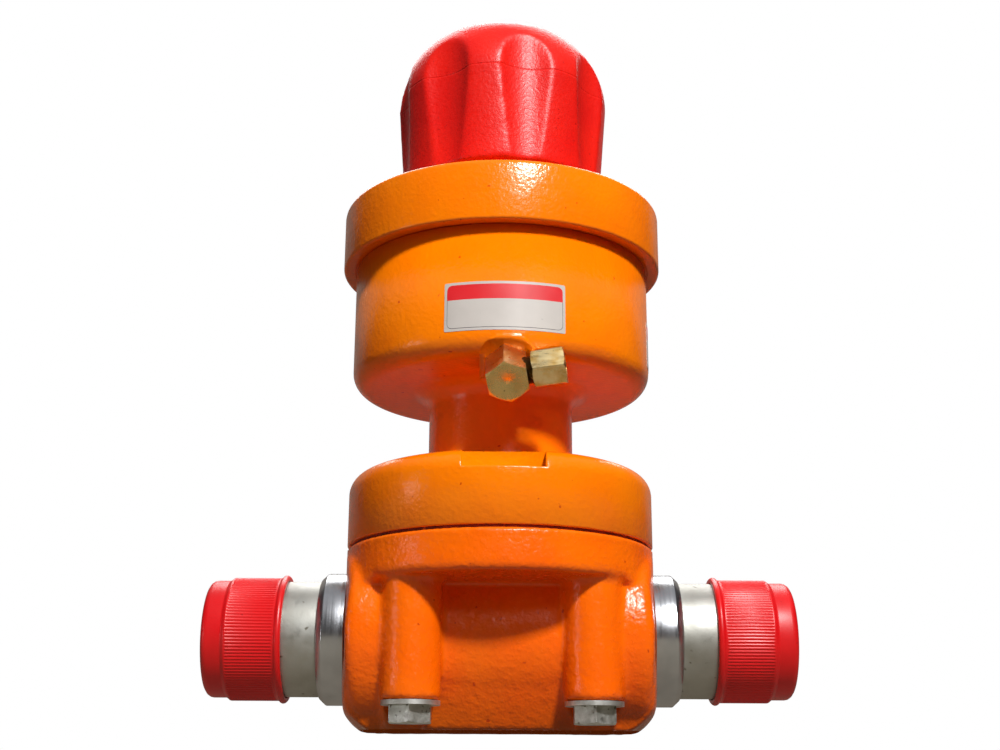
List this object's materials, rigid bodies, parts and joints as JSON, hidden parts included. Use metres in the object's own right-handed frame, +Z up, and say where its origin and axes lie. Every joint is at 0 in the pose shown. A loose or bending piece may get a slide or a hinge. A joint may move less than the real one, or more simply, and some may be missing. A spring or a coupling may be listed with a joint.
{
  "type": "abrasive metering valve",
  "caption": "Pneumatic plunger valve that meters blasting abrasive: flanged body with capped pipe ends, air cylinder, hand knob that limits the lift",
  "frame": {"origin": "centre of the flat underside of the lower body", "axes": "+X along the pipe to the right nipple, -Y is the front with the air fitting, +Z up through the knob"},
  "size_m": [0.215, 0.1275, 0.2836],
  "materials": {
    "orange_paint": "glossy orange enamel over a sand casting",
    "hard_metal": "ground hard metal",
    "seal_rubber": "smooth black rubber",
    "gasket_sheet": "dark gasket sheet",
    "bronze": "turned bronze",
    "brass": "turned brass",
    "zinc_bolt": "zinc plated, worn",
    "zinc_pipe": "satin zinc plating",
    "bright_zinc": "bright zinc plating",
    "red_vinyl": "soft red vinyl",
    "aluminium": "machined",
    "wear_plastic": "filled plastic",
    "steel": "machined steel",
    "red_plastic": "moulded red plastic, fine grain"
  },
  "bodies": {
    "root": {"lower_body": "orange_paint", "valve_seat": "hard_metal", "seat_seal": "seal_rubber", "metering_sleeve": "hard_metal", "sleeve_seal": "seal_rubber", "flange_gasket": "gasket_sheet", "upper_housing": "orange_paint", "rod_bush": "bronze", "rod_seal": "seal_rubber", "rod_wiper": "seal_rubber", "air_elbow": "brass", "air_fitting": "brass", "body_bolts": "zinc_bolt", "bolt_washers": "zinc_bolt", "right_nipple": "zinc_pipe", "left_nipple": "zinc_pipe", "right_collar": "bright_zinc", "left_collar": "bright_zinc", "end_cap": "orange_paint", "cap_o_ring": "seal_rubber", "screw_bush": "bronze", "return_spring": "steel"},
    "plunger": {"piston": "aluminium", "piston_seal": "seal_rubber", "piston_wear_ring": "wear_plastic", "piston_nut": "steel", "plunger_rod": "steel", "plunger_tip": "hard_metal"},
    "screw_carrier": {"thrust_pad": "steel"},
    "knob_body": {"knob": "red_plastic", "adjusting_screw": "steel", "pad_clip": "steel", "knob_jam_nut": "steel"},
    "left_cap": {"left_thread_cap": "red_vinyl"},
    "right_cap": {"right_thread_cap": "red_vinyl"}
  },
  "joints": [
    {"name": "plunger_lift", "type": "slide", "parent": "root", "child": "plunger", "axis": [0, 0, 1], "range_m": [0, 0.007], "stiffness_N_per_m": 6000, "springref_m": -0.012, "deforming": ["return_spring"]},
    {"name": "screw_travel", "type": "slide", "parent": "root", "child": "screw_carrier", "axis": [0, 0, 1], "range_m": [-0.003, 0.004]},
    {"name": "knob_turn", "type": "hinge", "parent": "screw_carrier", "child": "knob_body", "pos_m": [0, 0, 0.2], "axis": [0, 0, 1], "range_deg": [-540, 720]},
    {"name": "left_cap_pull", "type": "slide", "parent": "root", "child": "left_cap", "axis": [-1, 0, 0], "range_m": [0, 0.03]},
    {"name": "right_cap_pull", "type": "slide", "parent": "root", "child": "right_cap", "axis": [1, 0, 0], "range_m": [0, 0.03]}
  ],
  "couplings": [
    {"joint": "screw_travel", "follows": "knob_turn", "m_per_rad": 0.00031831}
  ]
}
